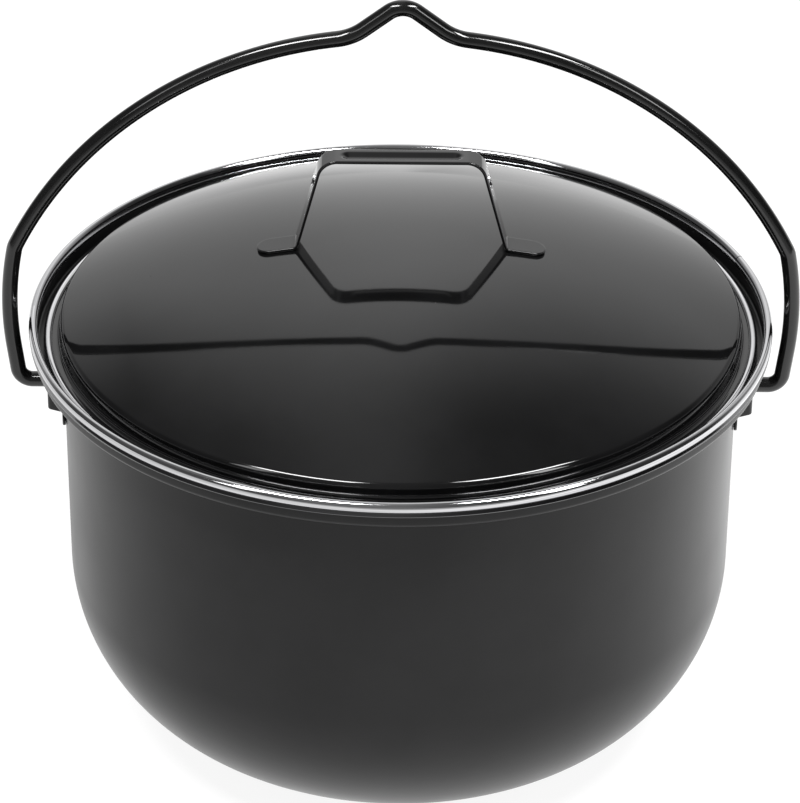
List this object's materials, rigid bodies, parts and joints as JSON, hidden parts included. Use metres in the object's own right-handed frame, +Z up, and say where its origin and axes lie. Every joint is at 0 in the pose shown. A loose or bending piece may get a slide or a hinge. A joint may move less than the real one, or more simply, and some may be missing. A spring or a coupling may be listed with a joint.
{
  "type": "enamel cauldron",
  "caption": "Black enamelled cauldron with flat base, steel-banded rim, domed lid with strap handle, and a swinging wire bail with a hook peak.",
  "frame": {"origin": "centre of the flat base, on the surface that the pot stands on", "axes": "+Z up along the pot's axis, X through both ears and the bail's pivots, Y the way the bail swings"},
  "size_m": [0.301, 0.28, 0.2988],
  "materials": {
    "pot_enamel": "satin black vitreous enamel",
    "lid_enamel": "glossy black vitreous enamel",
    "wire_enamel": "semi-gloss black enamel",
    "band_steel": "polished stainless steel"
  },
  "bodies": {
    "pot": {"pot_shell": "pot_enamel", "pot_rim_band": "band_steel", "ear_left": "pot_enamel", "ear_right": "pot_enamel", "lid_shell": "lid_enamel", "lid_rim_band": "band_steel", "lid_handle": "lid_enamel"},
    "bail": {"bail": "wire_enamel"}
  },
  "joints": [
    {"name": "bail_swing", "type": "hinge", "parent": "pot", "child": "bail", "pos_m": [0, 0, 0.14005], "axis": [1, 0, 0], "range_deg": [-76, 76]}
  ]
}
